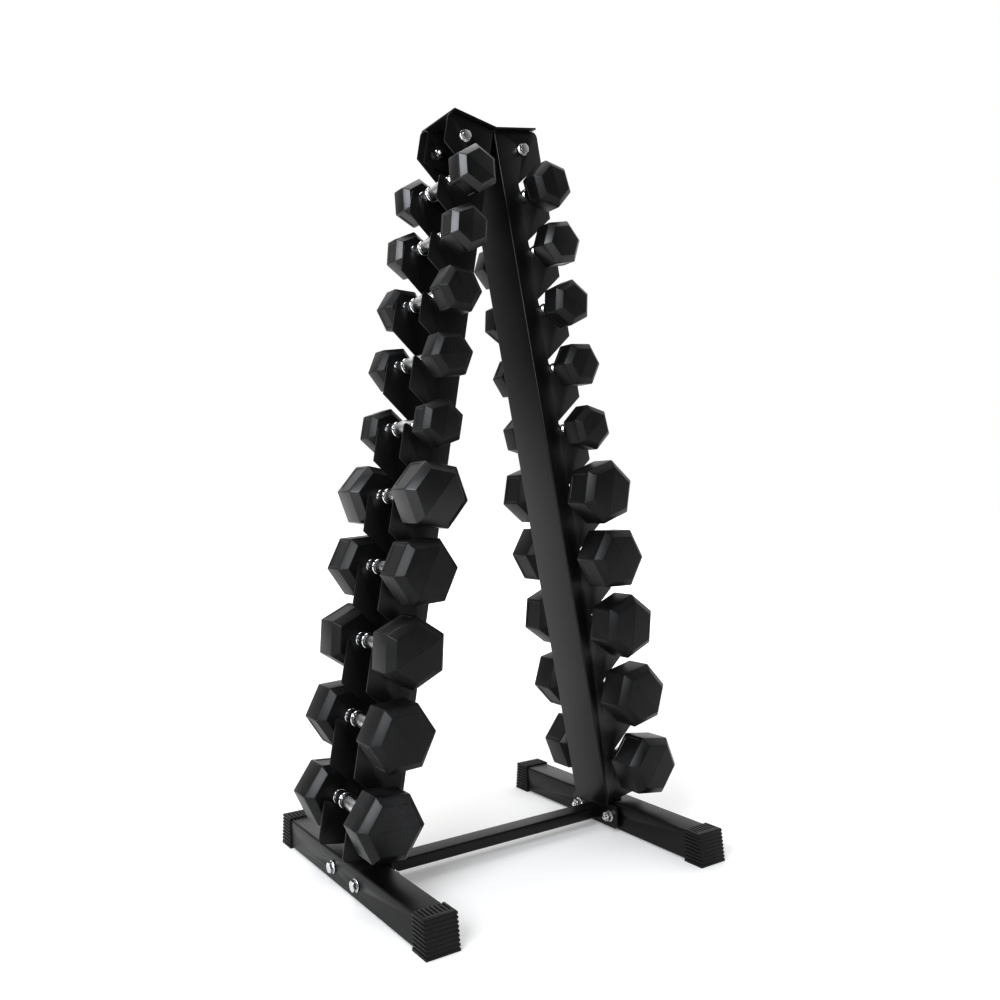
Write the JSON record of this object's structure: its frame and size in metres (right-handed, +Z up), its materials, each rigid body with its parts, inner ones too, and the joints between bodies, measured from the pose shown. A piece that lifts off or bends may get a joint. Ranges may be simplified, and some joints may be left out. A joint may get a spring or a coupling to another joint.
{
  "type": "dumbbell rack",
  "caption": "A-frame storage rack whose leaning toothed channels hold hexagonal dumbbells by the handle, pair above pair, on two long feet.",
  "frame": {"origin": "on the floor, in the middle of the rack", "axes": "+X from the left foot to the right one, +Y from the front (the end seen first in the picture) to the back, +Z up"},
  "size_m": [0.6492, 0.552, 1.2918],
  "materials": {
    "black_powder_coat": "satin black powder coat on steel",
    "rubber_coated_iron": "dull black rubber, moulded over a cast-iron core",
    "black_plastic": "moulded, ribbed",
    "bright_zinc": "bright zinc plate"
  },
  "bodies": {
    "frame": {"cross_bar": "black_powder_coat", "top_bracket": "black_powder_coat", "left_upright": "black_powder_coat", "left_seat": "black_powder_coat", "left_foot_tube": "black_powder_coat", "left_end_plate": "black_powder_coat", "left_front_foot_cap": "black_plastic", "left_front_foot_bolt": "bright_zinc", "left_front_foot_nut": "bright_zinc", "left_front_foot_washer": "bright_zinc", "left_front_top_bolt": "bright_zinc", "left_front_top_nut": "bright_zinc", "left_rear_foot_cap": "black_plastic", "left_rear_foot_bolt": "bright_zinc", "left_rear_foot_nut": "bright_zinc", "left_rear_foot_washer": "bright_zinc", "left_rear_top_bolt": "bright_zinc", "left_rear_top_nut": "bright_zinc", "right_upright": "black_powder_coat", "right_seat": "black_powder_coat", "right_foot_tube": "black_powder_coat", "right_end_plate": "black_powder_coat", "right_front_foot_cap": "black_plastic", "right_front_foot_bolt": "bright_zinc", "right_front_foot_nut": "bright_zinc", "right_front_foot_washer": "bright_zinc", "right_front_top_bolt": "bright_zinc", "right_front_top_nut": "bright_zinc", "right_rear_foot_cap": "black_plastic", "right_rear_foot_bolt": "bright_zinc", "right_rear_foot_nut": "bright_zinc", "right_rear_foot_washer": "bright_zinc", "right_rear_top_bolt": "bright_zinc", "right_rear_top_nut": "bright_zinc"},
    "left_dumbbell_01": {"left_dumbbell_01": "rubber_coated_iron"},
    "left_dumbbell_02": {"left_dumbbell_02": "rubber_coated_iron"},
    "left_dumbbell_03": {"left_dumbbell_03": "rubber_coated_iron"},
    "left_dumbbell_04": {"left_dumbbell_04": "rubber_coated_iron"},
    "left_dumbbell_05": {"left_dumbbell_05": "rubber_coated_iron"},
    "left_dumbbell_06": {"left_dumbbell_06": "rubber_coated_iron"},
    "left_dumbbell_07": {"left_dumbbell_07": "rubber_coated_iron"},
    "left_dumbbell_08": {"left_dumbbell_08": "rubber_coated_iron"},
    "left_dumbbell_09": {"left_dumbbell_09": "rubber_coated_iron"},
    "left_dumbbell_10": {"left_dumbbell_10": "rubber_coated_iron"},
    "right_dumbbell_01": {"right_dumbbell_01": "rubber_coated_iron"},
    "right_dumbbell_02": {"right_dumbbell_02": "rubber_coated_iron"},
    "right_dumbbell_03": {"right_dumbbell_03": "rubber_coated_iron"},
    "right_dumbbell_04": {"right_dumbbell_04": "rubber_coated_iron"},
    "right_dumbbell_05": {"right_dumbbell_05": "rubber_coated_iron"},
    "right_dumbbell_06": {"right_dumbbell_06": "rubber_coated_iron"},
    "right_dumbbell_07": {"right_dumbbell_07": "rubber_coated_iron"},
    "right_dumbbell_08": {"right_dumbbell_08": "rubber_coated_iron"},
    "right_dumbbell_09": {"right_dumbbell_09": "rubber_coated_iron"},
    "right_dumbbell_10": {"right_dumbbell_10": "rubber_coated_iron"}
  },
  "joints": [
    {"name": "left_dumbbell_01_lift_out", "type": "slide", "parent": "frame", "child": "left_dumbbell_01", "axis": [-0.8755, 0, 0.4832], "range_m": [0, 0.12]},
    {"name": "left_dumbbell_02_lift_out", "type": "slide", "parent": "frame", "child": "left_dumbbell_02", "axis": [-0.8755, 0, 0.4832], "range_m": [0, 0.12]},
    {"name": "left_dumbbell_03_lift_out", "type": "slide", "parent": "frame", "child": "left_dumbbell_03", "axis": [-0.8755, 0, 0.4832], "range_m": [0, 0.12]},
    {"name": "left_dumbbell_04_lift_out", "type": "slide", "parent": "frame", "child": "left_dumbbell_04", "axis": [-0.8755, 0, 0.4832], "range_m": [0, 0.12]},
    {"name": "left_dumbbell_05_lift_out", "type": "slide", "parent": "frame", "child": "left_dumbbell_05", "axis": [-0.8755, 0, 0.4832], "range_m": [0, 0.12]},
    {"name": "left_dumbbell_06_lift_out", "type": "slide", "parent": "frame", "child": "left_dumbbell_06", "axis": [-0.8755, 0, 0.4832], "range_m": [0, 0.12]},
    {"name": "left_dumbbell_07_lift_out", "type": "slide", "parent": "frame", "child": "left_dumbbell_07", "axis": [-0.8755, 0, 0.4832], "range_m": [0, 0.12]},
    {"name": "left_dumbbell_08_lift_out", "type": "slide", "parent": "frame", "child": "left_dumbbell_08", "axis": [-0.8755, 0, 0.4832], "range_m": [0, 0.12]},
    {"name": "left_dumbbell_09_lift_out", "type": "slide", "parent": "frame", "child": "left_dumbbell_09", "axis": [-0.8755, 0, 0.4832], "range_m": [0, 0.12]},
    {"name": "left_dumbbell_10_lift_out", "type": "slide", "parent": "frame", "child": "left_dumbbell_10", "axis": [-0.8755, 0, 0.4832], "range_m": [0, 0.12]},
    {"name": "right_dumbbell_01_lift_out", "type": "slide", "parent": "frame", "child": "right_dumbbell_01", "axis": [0.8755, 0, 0.4832], "range_m": [0, 0.12]},
    {"name": "right_dumbbell_02_lift_out", "type": "slide", "parent": "frame", "child": "right_dumbbell_02", "axis": [0.8755, 0, 0.4832], "range_m": [0, 0.12]},
    {"name": "right_dumbbell_03_lift_out", "type": "slide", "parent": "frame", "child": "right_dumbbell_03", "axis": [0.8755, 0, 0.4832], "range_m": [0, 0.12]},
    {"name": "right_dumbbell_04_lift_out", "type": "slide", "parent": "frame", "child": "right_dumbbell_04", "axis": [0.8755, 0, 0.4832], "range_m": [0, 0.12]},
    {"name": "right_dumbbell_05_lift_out", "type": "slide", "parent": "frame", "child": "right_dumbbell_05", "axis": [0.8755, 0, 0.4832], "range_m": [0, 0.12]},
    {"name": "right_dumbbell_06_lift_out", "type": "slide", "parent": "frame", "child": "right_dumbbell_06", "axis": [0.8755, 0, 0.4832], "range_m": [0, 0.12]},
    {"name": "right_dumbbell_07_lift_out", "type": "slide", "parent": "frame", "child": "right_dumbbell_07", "axis": [0.8755, 0, 0.4832], "range_m": [0, 0.12]},
    {"name": "right_dumbbell_08_lift_out", "type": "slide", "parent": "frame", "child": "right_dumbbell_08", "axis": [0.8755, 0, 0.4832], "range_m": [0, 0.12]},
    {"name": "right_dumbbell_09_lift_out", "type": "slide", "parent": "frame", "child": "right_dumbbell_09", "axis": [0.8755, 0, 0.4832], "range_m": [0, 0.12]},
    {"name": "right_dumbbell_10_lift_out", "type": "slide", "parent": "frame", "child": "right_dumbbell_10", "axis": [0.8755, 0, 0.4832], "range_m": [0, 0.12]}
  ]
}
